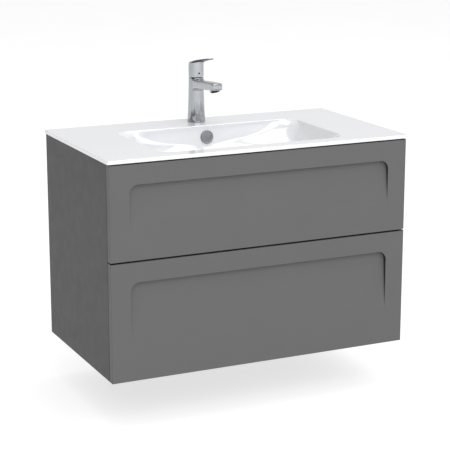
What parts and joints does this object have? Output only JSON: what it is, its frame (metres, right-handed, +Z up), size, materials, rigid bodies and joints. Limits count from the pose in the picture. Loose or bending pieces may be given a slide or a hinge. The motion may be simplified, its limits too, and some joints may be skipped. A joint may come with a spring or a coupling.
{
  "type": "bathroom vanity cabinet",
  "caption": "Wall-hung vanity cabinet with stacked drawers with sunken grip fields, a slim ceramic basin top, a single-lever tap and a bottle trap behind the drawers.",
  "frame": {"origin": "on the wall, at the middle of the back face of the upper hanging rail", "axes": "+X to the right seen from the front, +Y into the wall, +Z up; the drawers open along -Y"},
  "size_m": [0.804, 0.4825, 0.7164],
  "materials": {
    "front_lacquer": "matte lacquered fibreboard",
    "side_lacquer": "matte lacquered fibreboard",
    "carcass_board": "melamine faced board",
    "drawer_board": "satin melamine board",
    "glazed_ceramic": "gloss glaze",
    "tap_chrome": "polished chrome",
    "zinc_steel": "bright zinc plated",
    "raw_brass": "machined",
    "trap_plastic": "satin moulded",
    "black_rubber": "matte",
    "seal_bead": "satin",
    "bumper_silicone": "satin translucent",
    "dark_plastic": "moulded",
    "surround_plastic": "moulded"
  },
  "bodies": {
    "cabinet": {"aerator": "dark_plastic", "basin": "glazed_ceramic", "basin_seal": "seal_bead", "bottom_panel": "carcass_board", "bumper_pads": "bumper_silicone", "cam_fittings": "zinc_steel", "cartridge": "dark_plastic", "cartridge_nut": "raw_brass", "front_stretcher": "carcass_board", "hangers": "zinc_steel", "lower_cabinet_rails": "zinc_steel", "overflow_cover": "tap_chrome", "plug_catch": "dark_plastic", "rear_rail_bottom": "carcass_board", "rear_rail_top": "carcass_board", "side_panel_left": "side_lacquer", "side_panel_right": "side_lacquer", "tap_body": "tap_chrome", "tap_nut": "raw_brass", "tap_pad": "black_rubber", "tap_stud": "zinc_steel", "tap_washer": "zinc_steel", "trap_body": "trap_plastic", "trap_cup": "trap_plastic", "trap_dip_tube": "trap_plastic", "trap_inlet_nut": "trap_plastic", "trap_inlet_seal": "black_rubber", "trap_neck_nut": "trap_plastic", "trap_outlet_nut": "trap_plastic", "trap_outlet_pipe": "trap_plastic", "upper_cabinet_rails": "zinc_steel", "wall_plates": "zinc_steel", "wall_rosette": "trap_plastic", "waste_flange": "tap_chrome", "waste_nut": "trap_plastic", "waste_washer": "black_rubber"},
    "upper_drawer": {"upper_drawer_front": "front_lacquer", "upper_box_left": "drawer_board", "upper_box_right": "drawer_board", "upper_box_bottom": "drawer_board", "upper_box_back": "drawer_board", "trap_surround": "surround_plastic", "upper_front_brackets": "zinc_steel", "upper_drawer_rails": "zinc_steel"},
    "upper_runner_middle": {"upper_middle_rails": "zinc_steel"},
    "lower_drawer": {"lower_drawer_front": "front_lacquer", "lower_box_left": "drawer_board", "lower_box_right": "drawer_board", "lower_box_bottom": "drawer_board", "lower_box_back": "drawer_board", "lower_front_brackets": "zinc_steel", "lower_drawer_rails": "zinc_steel"},
    "lower_runner_middle": {"lower_middle_rails": "zinc_steel"},
    "lever_swivel": {"cartridge_rotor": "dark_plastic", "lever_pin": "zinc_steel"},
    "lever": {"lever": "tap_chrome", "lever_stem": "dark_plastic", "index_plug": "dark_plastic"},
    "drain_plug": {"drain_plug": "tap_chrome", "plug_seal": "black_rubber"}
  },
  "joints": [
    {"name": "upper_drawer_slide", "type": "slide", "parent": "cabinet", "child": "upper_drawer", "axis": [0, -1, 0], "range_m": [0, 0.34]},
    {"name": "upper_runner_slide", "type": "slide", "parent": "cabinet", "child": "upper_runner_middle", "axis": [0, -1, 0], "range_m": [0, 0.17]},
    {"name": "lower_drawer_slide", "type": "slide", "parent": "cabinet", "child": "lower_drawer", "axis": [0, -1, 0], "range_m": [0, 0.34]},
    {"name": "lower_runner_slide", "type": "slide", "parent": "cabinet", "child": "lower_runner_middle", "axis": [0, -1, 0], "range_m": [0, 0.17]},
    {"name": "lever_swivel", "type": "hinge", "parent": "cabinet", "child": "lever_swivel", "pos_m": [0, -0.05, 0.1865], "axis": [0, 0, 1], "range_deg": [-45, 45]},
    {"name": "lever_lift", "type": "hinge", "parent": "lever_swivel", "child": "lever", "pos_m": [0, -0.05, 0.1865], "axis": [-1, 0, 0], "range_deg": [0, 25]},
    {"name": "drain_plug_lift", "type": "slide", "parent": "cabinet", "child": "drain_plug", "axis": [0, 0, 1], "range_m": [0, 0.008]}
  ],
  "couplings": [
    {"joint": "upper_runner_slide", "follows": "upper_drawer_slide", "ratio": 0.5},
    {"joint": "lower_runner_slide", "follows": "lower_drawer_slide", "ratio": 0.5}
  ]
}
